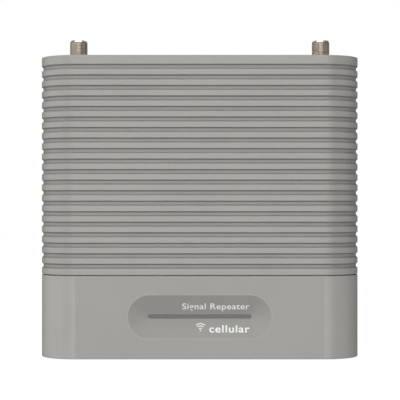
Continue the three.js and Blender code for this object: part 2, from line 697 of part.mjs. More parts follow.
function addPowerInlet() {
  const block = box(
    -JACK_BLOCK.width / 2, JACK_BLOCK.width / 2,
    -JACK_BLOCK.depth / 2, JACK_BLOCK.depth / 2,
    JACK_BLOCK.bottom, JACK_BLOCK.top,
  );
  const nose = rod(JACK_NOSE_RADIUS, JACK_BLOCK.top - 1, BODY_TOP, 24);
  const bore = rod(JACK_BORE, JACK_BORE_BOTTOM, BODY_TOP + 1, 20);
  const pinHole = rod(JACK_PIN_RADIUS + GAP, JACK_BLOCK.bottom - 1, JACK_BORE_BOTTOM + 1, 12);
  const springFront = -4.1;
  const pocket = box(-1.6, 1.6, springFront, -2.5, JACK_BLOCK.bottom - 1, JACK_BLOCK.top);
  add('power_jack_body', cut(join(block, nose), bore, pinHole, pocket), BLACK_PLASTIC);
  add('power_jack_pin', rod(JACK_PIN_RADIUS, JACK_BLOCK.bottom - 1, BODY_TOP - 1.8, 12), NICKEL);
  const springBox = [-1.2, 1.2, springFront + GAP, springFront + 2 * GAP + 0.1];
  add('power_jack_spring', box(...springBox, JACK_BLOCK.bottom - 1, JACK_BLOCK.top - 1), NICKEL);
}

addHousings();
addRear();
addIndicator();
addFlatCable();
addMainBoard();
addBoardParts();
addPorts();
addPowerInlet();

export default group;
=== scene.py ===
"""A cellular signal booster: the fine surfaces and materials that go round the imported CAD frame."""

import json
import math

import bmesh
import bpy
from mathutils import Matrix, Vector


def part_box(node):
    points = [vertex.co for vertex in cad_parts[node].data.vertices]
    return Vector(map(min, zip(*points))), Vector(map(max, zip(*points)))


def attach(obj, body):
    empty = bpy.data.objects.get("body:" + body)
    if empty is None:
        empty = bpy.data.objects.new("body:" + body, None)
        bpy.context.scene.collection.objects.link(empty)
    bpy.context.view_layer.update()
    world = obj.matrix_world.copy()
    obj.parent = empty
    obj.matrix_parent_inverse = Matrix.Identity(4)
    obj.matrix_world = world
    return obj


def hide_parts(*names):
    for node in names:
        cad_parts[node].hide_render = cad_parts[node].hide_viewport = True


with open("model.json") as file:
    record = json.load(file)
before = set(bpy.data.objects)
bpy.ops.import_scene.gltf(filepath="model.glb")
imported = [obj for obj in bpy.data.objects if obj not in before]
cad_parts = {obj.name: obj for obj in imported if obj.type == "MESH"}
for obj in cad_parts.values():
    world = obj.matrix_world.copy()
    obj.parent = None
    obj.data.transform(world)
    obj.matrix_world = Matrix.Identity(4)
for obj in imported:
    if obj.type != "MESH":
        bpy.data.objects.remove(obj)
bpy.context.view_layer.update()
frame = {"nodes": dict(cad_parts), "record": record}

MM = 0.001
BODY = "root"

# Edges and clearances that many pieces share.
FINE_EDGE = 0.1 * MM
SOFT_EDGE = 0.3 * MM
VISIBLE_GAP = 0.15 * MM
MOUTH_CHAMFER = 0.25 * MM

# How far a cutting shape runs past the faces that it cuts, and past a chamfered mouth.
OVERRUN = 1 * MM
MOUTH_OVERRUN = 0.25 * MM

# ---- places from the frame

HOUSING_LOW, HOUSING_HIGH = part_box("ribbed_housing")
BASE_LOW, BASE_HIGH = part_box("base_housing")
HALF_WIDTH = HOUSING_HIGH.x
HALF_DEPTH = HOUSING_HIGH.y
BODY_TOP = HOUSING_HIGH.z
HOUSING_BOTTOM = HOUSING_LOW.z
BASE_BOTTOM = BASE_LOW.z
POST_TOP = BASE_HIGH.z

CORNER_RADIUS = 19.6 * MM
CORNER_X = HALF_WIDTH - CORNER_RADIUS
CORNER_Y = HALF_DEPTH - CORNER_RADIUS

# The steps of an outline's corners, a stadium's ends and a keyhole's arcs.
CORNER_STEPS = 24
STADIUM_STEPS = 40
KEYHOLE_STEPS = 28

# An arc uses less than half of each side, so that two arcs never meet. A nearly straight corner has none.
LONGEST_REACH = 0.48
NEARLY_STRAIGHT = math.radians(89)
WELD_DISTANCE = 1e-7

# Ribbed housing.
WALL = 2.6 * MM
GROOVE_COUNT = 20
GROOVE_PITCH = 5.564 * MM
GROOVE_FIRST_DROP = 4.73 * MM
GROOVE_OPENING = 2.78 * MM
GROOVE_DEPTH = 0.85 * MM
GROOVE_REACH = 1.1 * GROOVE_DEPTH
FLANK_HEIGHT = 0.77 * MM
RIB_EDGE = 0.12 * MM
GROOVE_CORNER = 0.1 * MM
TOP_EDGE = 0.35 * MM
SEAM_GAP = 0.5 * MM
SEAM_EDGE = 0.22 * MM
LAND_HALF_WIDTH = 60 * MM
LAND_RAMP = 0.25 * MM
# Faces of a groove that slope more than this belong to its flanks.
FLANK_SLOPE = 0.35

# Base band.
BASE_TOP = HOUSING_BOTTOM - SEAM_GAP
BASE_WALL = 2.4 * MM
BASE_EDGE = 0.5 * MM
FLOOR_THICKNESS = 3.5 * MM
FLOOR_FILLET = 0.8 * MM
FLOOR_BORDER = 2 * MM
TONGUE_INSET = 2.9 * MM
TONGUE_WALL = 1.3 * MM
TONGUE_ROOT = 38 * MM
TONGUE_TOP = POST_TOP - 0.4 * MM
FOOT_EDGE = 0.35 * MM
FOOT_TOP_EDGE = 0.2 * MM
FOOT_DISH = 0.12 * MM
FOOT_GAP = 0.1 * MM

# Posts in the base for its screws, and the bosses above them in the housing.
POST_RADIUS = 4.2 * MM
BOSS_BOTTOM = POST_TOP + 0.3 * MM
BOSS_TOP = POST_TOP + 11 * MM
SCREW_HOLE = 1.8 * MM
SCREW_WELL = 3.2 * MM
SCREW_SEAT = 33 * MM
BOSS_ROOF = 2 * MM
WEB_WIDTH = 5 * MM

# Sunken stadium in the base, and the light bar in it.
RECESS_Z = BASE_BOTTOM + 22.4 * MM
RECESS_RADIUS = 11.45 * MM
RECESS_HALF_STRAIGHT = 26.5 * MM
RECESS_DEPTH = 3.6 * MM
RECESS_RIM = 0.5 * MM
RECESS_FILLET = 1.6 * MM
SLOT_RADIUS = 0.95 * MM
SLOT_DEPTH = RECESS_DEPTH * (1 - SLOT_RADIUS / RECESS_RADIUS)
PAD_RADIUS = 13 * MM
PAD_BACK = 6.1 * MM
PAD_EDGE = 0.5 * MM
BAR_GAP = 0.07 * MM
BAR_DROP = 0.12 * MM
BAR_EDGE = 0.22 * MM
BAR_MIDDLE = 0.3 * MM
BAR_FLANGE_GAP = 0.2 * MM
BAR_FLANGE_RADIUS = 2.5 * MM
BAR_FLANGE_THICKNESS = 1.5 * MM
BAR_FLANGE_EDGE = 0.2 * MM

# Ports. A thread's crest and flank are shares of half its pitch, and its steps are for each turn.
THREAD_PITCH = 25.4 / 32 * MM
THREAD_DEPTH = 0.24 * MM
THREAD_CREST = 0.4
THREAD_FLANK = 0.45
THREAD_STEPS = 14
PORT_BORE = 3.5 * MM
PORT_CHAMFER_HEIGHT = 1.15 * MM
PORT_CHAMFER_IN = 0.75 * MM
CHAMFER_SLOPE = 0.3

# ---- outlines and profiles


def rounded(points, steps=3):
    """The polyline with its inner corners turned into arcs. A point may state its own radius third."""
    result = [Vector(points[0][:2])]
    for before, corner, after in zip(points, points[1:], points[2:]):
        wanted = corner[2] if len(corner) > 2 else 0.0
        here = Vector(corner[:2])
        back = Vector(before[:2]) - here
        ahead = Vector(after[:2]) - here
        half_angle = back.angle(ahead) / 2
        if wanted <= 0 or half_angle > NEARLY_STRAIGHT:
            result.append(here)
            continue
        longest = LONGEST_REACH * min(back.length, ahead.length)
        reach = min(wanted / math.tan(half_angle), longest)
        size = reach * math.tan(half_angle)
        inwards = (back.normalized() + ahead.normalized()).normalized()
        centre = here + inwards * (size / math.sin(half_angle))
        first = here + back.normalized() * reach - centre
        last = here + ahead.normalized() * reach - centre
        start = math.atan2(first.y, first.x)
        turn = math.remainder(math.atan2(last.y, last.x) - start, math.tau)
        for step in range(steps + 1):
            angle = start + turn * step / steps
            result.append(centre + Vector((math.cos(angle), math.sin(angle))) * size)
    result.append(Vector(points[-1][:2]))
    return result


def arc(centre, radius, start, end, steps):
    """Points of an arc from one angle in degrees to another, with both ends."""
    angles = [math.radians(start + (end - start) * step / steps) for step in range(steps + 1)]
    return [(centre[0] + radius * math.cos(a), centre[1] + radius * math.sin(a)) for a in angles]


def corner_stations():
    """Places round the outline from above, anticlockwise: each a centre, a direction and its tag."""
    stations = []
    corners = [(1, -1, -90), (1, 1, 0), (-1, 1, 90), (-1, -1, 180)]
    for right, back, start in corners:
        centre = Vector((right * CORNER_X, back * CORNER_Y))
        for direction in arc((0, 0), 1, start, start + 90, CORNER_STEPS):
            stations.append((centre, Vector(direction), "corner"))
        if (right, back) == (1, 1):
            towards_back = Vector((0, 1))
            for x, tag in (
                (LAND_HALF_WIDTH + LAND_RAMP, "groove"),
                (LAND_HALF_WIDTH, "land"),
                (-LAND_HALF_WIDTH, "land"),
                (-LAND_HALF_WIDTH - LAND_RAMP, "groove"),
            ):
                stations.append((Vector((x, CORNER_Y)), towards_back, tag))
    return stations


STATIONS = corner_stations()


def outline_ring(inset, z, land_inset=None):
    """The outline inset from the outer face, with its own inset along the flat land at the back."""
    ring = []
    for centre, direction, tag in STATIONS:
        here = land_inset if tag == "land" and land_inset is not None else inset
        point = centre + direction * (CORNER_RADIUS - here)
        ring.append(Vector((point.x, point.y, z)))
    return ring


def stadium_ring(radius, y):
    """A stadium round the recess's centre line, anticlockwise seen from the front."""
    right = arc((RECESS_HALF_STRAIGHT, RECESS_Z), radius, -90, 90, STADIUM_STEPS)
    left = arc((-RECESS_HALF_STRAIGHT, RECESS_Z), radius, 90, 270, STADIUM_STEPS)
    return [Vector((x, y, z)) for x, z in right + left]


def circle_ring(radius, z, segments):
    if radius < 1e-9:
        return [Vector((0, 0, z))]
    angles = [math.tau * step / segments for step in range(segments)]
    return [Vector((radius * math.cos(a), radius * math.sin(a), z)) for a in angles]


# ---- meshes


def skin(rings, capped=False):
    """Faces between each ring and the next, as lists of points. A ring of one point is a pole."""
    faces = [list(reversed(rings[0]))] if capped else []
    for lower, upper in zip(rings, rings[1:]):
        count = max(len(lower), len(upper))
        for step in range(count):
            after = (step + 1) % count
            face = [lower[step % len(lower)]]
            if len(lower) > 1:
                face.append(lower[after])
            face.append(upper[after % len(upper)])
            if len(upper) > 1:
                face.append(upper[step])
            faces.append(face)
    if capped:
        faces.append(list(rings[-1]))
    return faces


def turned_rings(profile, segments):
    return [circle_ring(radius, height, segments) for radius, height in profile]


def turned(profile, segments=48):
    """Faces of a profile of (radius, height) points turned about Z."""
    return skin(turned_rings(profile, segments))


def rod(radius, low, high, segments, low_edge=0, high_edge=0, steps=3):
    """A closed cylinder about Z, with rounded edges where they are given."""
    profile = [(0, low), (radius, low, low_edge), (radius, high, high_edge), (0, high)]
    return turned(rounded(profile, steps), segments)


def moved(faces, matrix):
    return [[matrix @ point for point in face] for face in faces]


def facing_y(place):
    """Turns +Z to +Y, and moves to a place."""
    return Matrix.Translation(place) @ Matrix.Rotation(-math.pi / 2, 4, "X")


def mesh_of(name, faces):
    """A mesh from faces given as lists of points, with shared corners welded."""
    mesh = bpy.data.meshes.new(name)
    shape = bmesh.new()
    for face in faces:
        corners = [shape.verts.new(point) for point in face]
        shape.faces.new(corners)
    bmesh.ops.remove_doubles(shape, verts=shape.verts, dist=WELD_DISTANCE)
    bmesh.ops.dissolve_degenerate(shape, edges=shape.edges, dist=WELD_DISTANCE / 10)
    shape.to_mesh(mesh)
    shape.free()
    return mesh


def loose_object(name, data):
    obj = bpy.data.objects.new(name, data)
    bpy.context.scene.collection.objects.link(obj)
    return obj


def solid(name, faces):
    return loose_object(name, mesh_of(name, faces))


def combine(obj, other_faces, operation):
    """Joins a closed shape to obj, or cuts it away."""
    other = solid("tool_shape", other_faces)
    modifier = obj.modifiers.new("combine", "BOOLEAN")
    modifier.operation = operation
    modifier.solver = "EXACT"
    modifier.object = other
    graph = bpy.context.evaluated_depsgraph_get()
    result = bpy.data.meshes.new_from_object(obj.evaluated_get(graph))
    obj.modifiers.clear()
    obj.data = result
    bpy.data.objects.remove(other)


def finish_piece(obj, slot, replaced=(), sharp_degrees=40, material=None):
    """Shades a piece, gives it its slot's material or its own, and fixes it to the CAD body."""
    mesh = obj.data
    mesh.materials.clear()
    mesh.materials.append(material or MATERIALS[slot])
    for polygon in mesh.polygons:
        polygon.use_smooth = True
        polygon.material_index = 0
    mesh.set_sharp_from_angle(angle=math.radians(sharp_degrees))
    weighted = obj.modifiers.new("even shading", "WEIGHTED_NORMAL")
    weighted.keep_sharp = True
    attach(obj, BODY)
    if replaced:
        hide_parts(*replaced)
    return obj


def make_piece(name, faces, slot, replaced=(), sharp_degrees=40, material=None):
    return finish_piece(solid(name, faces), slot, replaced, sharp_degrees, material)


def coat_where(obj, material, chosen):
    """Gives another material to the faces that a test chooses."""
    index = len(obj.data.materials)
    obj.data.materials.append(material)
    for polygon in obj.data.polygons:
        if chosen(polygon):
            polygon.material_index = index


# ---- materials


def srgb(red, green, blue):
    """A colour as the shader takes it, from values of 0 to 255 as a screen shows it."""

    def linear(value):
        share = value / 255
        return share / 12.92 if share <= 0.04045 else ((share + 0.055) / 1.055) ** 2.4

    return (linear(red), linear(green), linear(blue), 1.0)


def fill(node, **values):
    """Sets a node's unlinked inputs. A name has an underscore where the input's has a space."""
    for name, value in values.items():
        node.inputs[name.replace("_", " ")].default_value = value


class Surface:
    """A node material with a Principled shader, and helpers that add textures in metres."""

    def __init__(self, name):
        self.material = bpy.data.materials.new(name)
        self.material.use_nodes = True
        self.add = self.material.node_tree.nodes.new
        self.link = self.material.node_tree.links.new
        self.shader = self.material.node_tree.nodes["Principled BSDF"]
        self.place = self.add("ShaderNodeTexCoord").outputs["Object"]

    def feed(self, socket, value):
        """Links an output to a socket, or sets it to a plain value."""
        if isinstance(value, bpy.types.NodeSocket):
            self.link(value, socket)
        else:
            socket.default_value = value

    def noise(self, size, detail=3.0, stretch=(1, 1, 1)):
        """Noise whose features are about size across, drawn out along an axis by stretch."""
        mapping = self.add("ShaderNodeMapping")
        fill(mapping, Scale=[1 / (size * share) for share in stretch])
        self.link(self.place, mapping.inputs["Vector"])
        noise = self.add("ShaderNodeTexNoise")
        fill(noise, Scale=1.0, Detail=detail)
        self.link(mapping.outputs["Vector"], noise.inputs["Vector"])
        return noise.outputs["Fac"]

    def ranged(self, value, low, high, from_low=0.3, from_high=0.7):
        node = self.add("ShaderNodeMapRange")
        fill(node, From_Min=from_low, From_Max=from_high, To_Min=low, To_Max=high)
        self.link(value, node.inputs["Value"])
        return node.outputs["Result"]

    def math(self, operation, *values):
        node = self.add("ShaderNodeMath")
        node.operation = operation
        for socket, value in zip(node.inputs, values):
            self.feed(socket, value)
        return node.outputs["Value"]

    def mix(self, share, first, second):
        """A colour between two, each a colour or an output."""
        node = self.add("ShaderNodeMix")
        node.data_type = "RGBA"
        self.link(share, node.inputs["Factor"])
        self.feed(node.inputs[6], first)
        self.feed(node.inputs[7], second)
        return node.outputs[2]

    def axes(self):
        """The place's X, Y and Z in metres."""
        node = self.add("ShaderNodeSeparateXYZ")
        self.link(self.place, node.inputs["Vector"])
        return node.outputs["X"], node.outputs["Y"], node.outputs["Z"]

    def bump(self, height, distance):
        node = self.add("ShaderNodeBump")
        fill(node, Distance=distance)
        self.link(height, node.inputs["Height"])
        self.link(node.outputs["Normal"], self.shader.inputs["Normal"])

    def finished(self, color, grain, roughness, bump=0.0, **values):
        """The material with its colour, and with roughness and any bump that follow a grain."""
        self.link(color, self.shader.inputs["Base Color"])
        self.link(self.ranged(grain, *roughness), self.shader.inputs["Roughness"])
        if bump:
            self.bump(grain, bump)
        fill(self.shader, **values)
        return self.material


# Of a surface's tone, the share that follows its fine grain. The rest is a broad drift.
GRAIN_SHARE = 0.6
DRIFT_SIZE = 30 * MM


def textured(name, light, dark, roughness, grain, bump, metallic=0.0, stretch=(1, 1, 1), ior=1.45):
    """A surface with fine grain and a broad drift of tone. Roughness and bump follow the grain."""
    surface = Surface(name)
    fine = surface.noise(grain, 4.0, stretch)
    drift = surface.noise(DRIFT_SIZE, 2.0)
    from_grain = surface.math("MULTIPLY", fine, GRAIN_SHARE)
    from_drift = surface.math("MULTIPLY", drift, 1 - GRAIN_SHARE)
    tone = surface.ranged(surface.math("ADD", from_grain, from_drift), 0.0, 1.0, 0.35, 0.65)
    color = surface.mix(tone, dark, light)
    return surface.finished(color, fine, roughness, bump, Metallic=metallic, IOR=ior)


def painted_grey(name, light, dark, roughness=(0.33, 0.39)):
    """Fine matt paint on the die-cast housing: an even skin with a very fine orange peel."""
    return textured(name, light, dark, roughness, 0.35 * MM, 0.003 * MM, ior=1.5)


def moulded_grey(name, light, dark):
    """The base's moulded plastic, a shade off the paint, with a spark-eroded grain."""
    return textured(name, light, dark, (0.33, 0.39), 0.28 * MM, 0.003 * MM, ior=1.5)


def rolled_tinplate():
    """The shield cans' sheet, with rolling marks along X."""
    light, dark = srgb(206, 206, 202), srgb(186, 186, 182)
    return textured("can_tinplate", light, dark, (0.25, 0.4), 0.2 * MM, 0.004 * MM, 1.0, (10, 1, 1))


def smoked_diffuser():
    """The light bar's smoked plastic, with fine flow marks along it."""
    surface = Surface("light_diffuser")
    flow = surface.noise(0.5 * MM, 3.0, (8, 1, 1))
    color = surface.mix(surface.ranged(flow, 0, 1), srgb(85, 84, 81), srgb(93, 92, 89))
    return surface.finished(color, flow, (0.3, 0.4), 0.003 * MM, Coat_Weight=0.3)


def turned_metal(name, light, dark, roughness):
    """Metal turned on a lathe about Z: fine rings, and a faint uneven tarnish."""
    surface = Surface(name)
    rings = surface.noise(0.12 * MM, 2.0, (40, 40, 1))
    tarnish = surface.noise(2.5 * MM, 4.0)
    color = surface.mix(surface.ranged(tarnish, 0, 1), dark, light)
    return surface.finished(color, rings, roughness, 0.001 * MM, Metallic=1.0)


def rear_label_film():
    """A blank printed film: a border rule and empty ruled fields, with no lettering."""
    surface = Surface("rear_label_stock")
    low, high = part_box("rear_label")
    middle = (low + high) / 2
    margin = 1.6 * MM
    half_border = 0.2 * MM
    row_pitch = 4 * MM
    half_rule = 0.12 * MM
    half_length = 24 * MM
    x, _, z = surface.axes()
    across = surface.math("ABSOLUTE", surface.math("SUBTRACT", x, middle.x))
    up = surface.math("ABSOLUTE", surface.math("SUBTRACT", z, middle.z))
    past_x = surface.math("SUBTRACT", across, (high.x - low.x) / 2 - margin)
    past_z = surface.math("SUBTRACT", up, (high.z - low.z) / 2 - margin)
    from_border = surface.math("ABSOLUTE", surface.math("MAXIMUM", past_x, past_z))
    border = surface.math("LESS_THAN", from_border, half_border)
    in_row = surface.math("SUBTRACT", surface.math("PINGPONG", up, row_pitch), row_pitch / 2)
    on_rule = surface.math("LESS_THAN", surface.math("ABSOLUTE", in_row), half_rule)
    rule = surface.math("MULTIPLY", on_rule, surface.math("LESS_THAN", across, half_length))
    ink = surface.math("MAXIMUM", border, rule)
    film = surface.noise(0.4 * MM, 3.0)
    stock = surface.mix(surface.ranged(film, 0, 1), srgb(214, 215, 214), srgb(222, 223, 222))
    color = surface.mix(ink, stock, srgb(96, 97, 98))
    return surface.finished(color, film, (0.4, 0.5), 0.002 * MM)


def circuit_board(name, mask, trace):
    """Solder mask over routed copper: straight tracks that show through a little lighter."""
    surface = Surface(name)
    bricks = surface.add("ShaderNodeTexBrick")
    mapping = surface.add("ShaderNodeMapping")
    fill(mapping, Rotation=(math.radians(90), 0, 0))
    surface.link(surface.place, mapping.inputs["Vector"])
    surface.link(mapping.outputs["Vector"], bricks.inputs["Vector"])
    fill(bricks, Scale=1.0, Brick_Width=9 * MM, Row_Height=1.1 * MM)
    fill(bricks, Mortar_Size=0.16 * MM, Mortar_Smooth=0.2)
    weave = surface.noise(0.3 * MM, 3.0)
    shaded_mask = tuple(0.85 * share for share in mask[:3]) + (1.0,)
    tinted = surface.mix(surface.ranged(weave, 0, 1), mask, shaded_mask)
    surface.bump(bricks.outputs["Fac"], 0.02 * MM)
    return surface.finished(surface.mix(bricks.outputs["Fac"], tinted, trace), weave, (0.3, 0.42))


def striped_film():
    """A flat cable's film, with its conductors showing as fine stripes."""
    surface = Surface("cable_film")
    x, _, _ = surface.axes()
    stripe = surface.math("LESS_THAN", surface.math("PINGPONG", x, 0.5 * MM), 0.22 * MM)
    film = surface.noise(0.6 * MM, 3.0)
    base = surface.mix(surface.ranged(film, 0, 1), srgb(222, 222, 216), srgb(232, 232, 228))
    return surface.finished(surface.mix(stripe, base, srgb(176, 164, 138)), film, (0.35, 0.45))


NICKEL = turned_metal("port_nickel", srgb(188, 179, 166), srgb(174, 164, 150), (0.36, 0.44))
# The chamfer round a port's end: its near-white colour is a painted highlight, and it is a smoother cut
# than the thread.
CHAMFER_HIGHLIGHT = turned_metal("port_chamfer_painted_highlight", srgb(250, 249, 246), srgb(244, 243, 239), (0.24, 0.32))
# Painted shade: the paint is darker inside the grooves, where shade falls, and darkest on their flanks,
# which are also rougher.
GROOVE_FLOOR_SHADE = painted_grey("groove_floor_painted_shade", srgb(153, 151, 147), srgb(146, 144, 141))
GROOVE_FLANK_SHADE = painted_grey(
    "groove_flank_painted_shade", srgb(139, 137, 134), srgb(132, 130, 127), (0.42, 0.5)
)
# Painted shade: the recess's plastic is darker than the band round it, where shade falls in the hollow.
RECESS_SHADE = moulded_grey("recess_painted_shade", srgb(161, 159, 155), srgb(155, 153, 149))

MATERIALS = {
    "housing_paint": painted_grey("housing_paint", srgb(165, 163, 159), srgb(160, 158, 154)),
    "base_plastic": moulded_grey("base_plastic", srgb(171, 169, 165), srgb(165, 163, 159)),
    "light_diffuser": smoked_diffuser(),
    "port_nickel": NICKEL,
    "contact_gold": turned_metal("contact_gold", srgb(214, 176, 96), srgb(196, 156, 80), (0.2, 0.3)),
    "rear_label_stock": rear_label_film(),
    "board_green": circuit_board("board_green", srgb(28, 92, 56), srgb(52, 128, 84)),
    "board_white": circuit_board("board_white", srgb(226, 227, 222), srgb(206, 207, 202)),
    "can_tinplate": rolled_tinplate(),
    "cable_film": striped_film(),
}

# Plain finishes: light tone, dark tone, roughness, grain and bump in millimetres, and metallic.
PLAIN_FINISHES = {
    "insulator": ((232, 228, 216), (220, 215, 202), (0.4, 0.5), 0.3, 0.004, 0),
    "screw_steel": ((176, 176, 174), (150, 150, 150), (0.28, 0.42), 0.15, 0.004, 1),
    "foot_rubber": ((48, 48, 48), (36, 36, 36), (0.75, 0.9), 0.25, 0.015, 0),
    "jack_plastic": ((38, 38, 40), (27, 27, 29), (0.38, 0.5), 0.3, 0.006, 0),
    "spreader_aluminium": ((196, 198, 199), (176, 178, 180), (0.4, 0.55), 0.4, 0.012, 1),
    "chip_black": ((44, 44, 46), (30, 30, 32), (0.5, 0.65), 0.12, 0.006, 0),
    "filter_ceramic": ((220, 214, 202), (204, 198, 184), (0.45, 0.6), 0.2, 0.005, 0),
    "inductor_ferrite": ((66, 64, 62), (50, 48, 46), (0.6, 0.75), 0.2, 0.01, 0),
    "pad_silicone": ((134, 152, 172), (118, 136, 156), (0.8, 0.95), 0.5, 0.02, 0),
    "led_package": ((246, 240, 208), (238, 226, 176), (0.2, 0.3), 0.4, 0.003, 0),
    "print_white": ((252, 252, 250), (247, 247, 245), (0.5, 0.62), 0.15, 0.002, 0),
}

for finish, (light, dark, roughness, grain, bump, metallic) in PLAIN_FINISHES.items():
    MATERIALS[finish] = textured(
        finish, srgb(*light), srgb(*dark), roughness, grain * MM, bump * MM, metallic
    )

SLOT_OF = {row["node"]: row["material_slot"] for row in frame["record"]["subparts"]}

for node_name, node in frame["nodes"].items():
    node.material_slots[0].material = MATERIALS[SLOT_OF[node_name]]

# ---- ribbed housing


def groove_top(number):
    return BODY_TOP - GROOVE_FIRST_DROP - number * GROOVE_PITCH


def rib_centre(number):
    """The middle of the rib above a groove."""
    return groove_top(number) + (GROOVE_PITCH - GROOVE_OPENING) / 2


LAND_TOP = rib_centre(1)
LAND_BOTTOM = rib_centre(GROOVE_COUNT - 2)
ROOF_UNDERSIDE = BODY_TOP - WALL


def housing_rings():
    """From the roof's underside down the inner wall, round the lower rim and up over the ribs."""
    profile = [
        (WALL, ROOF_UNDERSIDE),
        (WALL, HOUSING_BOTTOM, FINE_EDGE),
        (0, HOUSING_BOTTOM, SEAM_EDGE),
    ]
    for number in reversed(range(GROOVE_COUNT)):
        upper = groove_top(number)
        lower = upper - GROOVE_OPENING
        profile += [
            (0, lower, RIB_EDGE),
            (GROOVE_DEPTH, lower + FLANK_HEIGHT, GROOVE_CORNER),
            (GROOVE_DEPTH, upper - FLANK_HEIGHT, GROOVE_CORNER),
            (0, upper, RIB_EDGE),
        ]
    profile += [(0, BODY_TOP, TOP_EDGE), (2 * TOP_EDGE, BODY_TOP)]
    rings = []
    for inset, z in rounded(profile, steps=4):
        on_land = LAND_BOTTOM < z < LAND_TOP and inset < GROOVE_REACH
        rings.append(outline_ring(inset, z, 0.0 if on_land else None))
    return rings


def rounded_rect_ring(width, height, radius, y, centre_z, steps=8):
    """A rounded rectangle in the XZ plane, anticlockwise seen from behind."""
    ring = []
    for right, up, start in ((-1, -1, 180), (1, -1, 270), (1, 1, 0), (-1, 1, 90)):
        centre = (right * (width / 2 - radius), up * (height / 2 - radius))
        ring += arc(centre, radius, start, start + 90, steps)
    return [Vector((x, y, centre_z + z)) for x, z in reversed(ring)]


def rect_solid(width, height, radius, front, back, centre_z):
    rings = [rounded_rect_ring(width, height, radius, y, centre_z) for y in (front, back)]
    return skin(rings, True)


PLATE_LOW, PLATE_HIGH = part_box("rear_plate")
PLATE_CENTRE_Z = (PLATE_LOW.z + PLATE_HIGH.z) / 2
PLATE_WIDTH = PLATE_HIGH.x - PLATE_LOW.x
PLATE_HEIGHT = PLATE_HIGH.z - PLATE_LOW.z
PLATE_CORNER = 4 * MM
PLATE_SEAT = PLATE_LOW.y - 0.1 * MM
LEDGE_FRONT = 14.8 * MM
LEDGE_MARGIN = 1 * MM
LEDGE_OPENING = (93 * MM, 69 * MM, 3 * MM)

PORTS = {}
for port_name in ("outdoor", "indoor"):
    port_low, port_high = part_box(f"{port_name}_port_barrel")
    PORTS[port_name] = ((port_low.x + port_high.x) / 2, port_high.z)
PORT_RADIUS = 9.525 / 2 * MM
JACK_LOW, JACK_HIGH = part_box("power_jack_body")
JACK_NOSE = 4.6 * MM
JACK_BORE = 3.15 * MM
FEET = [name for name in frame["nodes"] if name.startswith("foot_")]


def middle_of(name):
    low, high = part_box(name)
    return (low + high) / 2


def foot_places():
    """The middle of each foot, seen from above."""
    return [Vector((middle.x, middle.y, 0)) for middle in map(middle_of, FEET)]


def mouth(radius, face, chamfer):
    """The end of a cutter's profile for a hole with a chamfered mouth in a face."""
    return [
        (radius, face - chamfer),
        (radius + chamfer + MOUTH_OVERRUN, face + MOUTH_OVERRUN),
        (0, face + MOUTH_OVERRUN),
    ]


def roof_hole(radius):
    """A cutter for a round hole in the roof."""
    start = ROOF_UNDERSIDE - OVERRUN
    return turned([(0, start), (radius, start), *mouth(radius, BODY_TOP, MOUTH_CHAMFER)], 64)


def add_bosses(shell):
    """The bosses that the base's screws go into, each on a web from the front or back wall."""
    bosses = []
    webs = []
    holes = []
    middle_z = (BOSS_BOTTOM + BOSS_TOP) / 2
    wall_y = HALF_DEPTH - WALL / 2
    for place in foot_places():
        here = Matrix.Translation(place)
        bosses += moved(rod(POST_RADIUS, BOSS_BOTTOM, BOSS_TOP, 32, SOFT_EDGE), here)
        holes += moved(rod(SCREW_HOLE, 0, BOSS_TOP - BOSS_ROOF, 24), here)
        ends = sorted((place.y, math.copysign(wall_y, place.y)))
        web = rect_solid(WEB_WIDTH, BOSS_TOP - BOSS_BOTTOM, SOFT_EDGE, *ends, middle_z)
        webs += moved(web, Matrix.Translation((place.x, 0, 0)))
    combine(shell, webs, "UNION")
    combine(shell, bosses, "UNION")
    combine(shell, holes, "DIFFERENCE")


def in_groove(face):
    """Whether a face of the housing lies in a groove, and not on a rib or on the rear land."""
    point = face.center
    if point.y > 0 and abs(point.x) < LAND_HALF_WIDTH:
        return False
    past_corner = Vector((max(abs(point.x) - CORNER_X, 0), max(abs(point.y) - CORNER_Y, 0)))
    inset = CORNER_RADIUS - past_corner.length
    below_first = point.z < groove_top(0)
    above_last = point.z > groove_top(GROOVE_COUNT - 1) - GROOVE_OPENING
    return below_first and above_last and RIB_EDGE / 4 < inset < GROOVE_REACH


def on_groove_flank(face):
    return in_groove(face) and abs(face.normal.z) > FLANK_SLOPE


def build_housing():
    shell = solid("housing_shell", skin(housing_rings(), True))
    ledge = rect_solid(
        2 * (LAND_HALF_WIDTH - LEDGE_MARGIN),
        LAND_TOP - LAND_BOTTOM - 2 * LEDGE_MARGIN,
        LEDGE_MARGIN,
        LEDGE_FRONT,
        HALF_DEPTH - LEDGE_MARGIN,
        (LAND_TOP + LAND_BOTTOM) / 2,
    )
    combine(shell, ledge, "UNION")
    width = PLATE_WIDTH + 2 * VISIBLE_GAP
    height = PLATE_HEIGHT + 2 * VISIBLE_GAP
    corner = PLATE_CORNER + VISIBLE_GAP
    window = rect_solid(width, height, corner, PLATE_SEAT, HALF_DEPTH + OVERRUN, PLATE_CENTRE_Z)
    front, back = LEDGE_FRONT - OVERRUN, PLATE_SEAT + OVERRUN
    opening = rect_solid(*LEDGE_OPENING, front, back, PLATE_CENTRE_Z)
    combine(shell, window, "DIFFERENCE")
    combine(shell, opening, "DIFFERENCE")
    roof_holes = roof_hole(JACK_NOSE + VISIBLE_GAP)
    for x, _ in PORTS.values():
        roof_holes += moved(roof_hole(PORT_RADIUS + VISIBLE_GAP), Matrix.Translation((x, 0, 0)))
    combine(shell, roof_holes, "DIFFERENCE")
    add_bosses(shell)
    finish_piece(shell, "housing_paint", ["ribbed_housing"], 50)
    # Painted shade: darker paint on the groove floors, and darker still on their flanks.
    coat_where(shell, GROOVE_FLOOR_SHADE, in_groove)
    coat_where(shell, GROOVE_FLANK_SHADE, on_groove_flank)


# ---- base


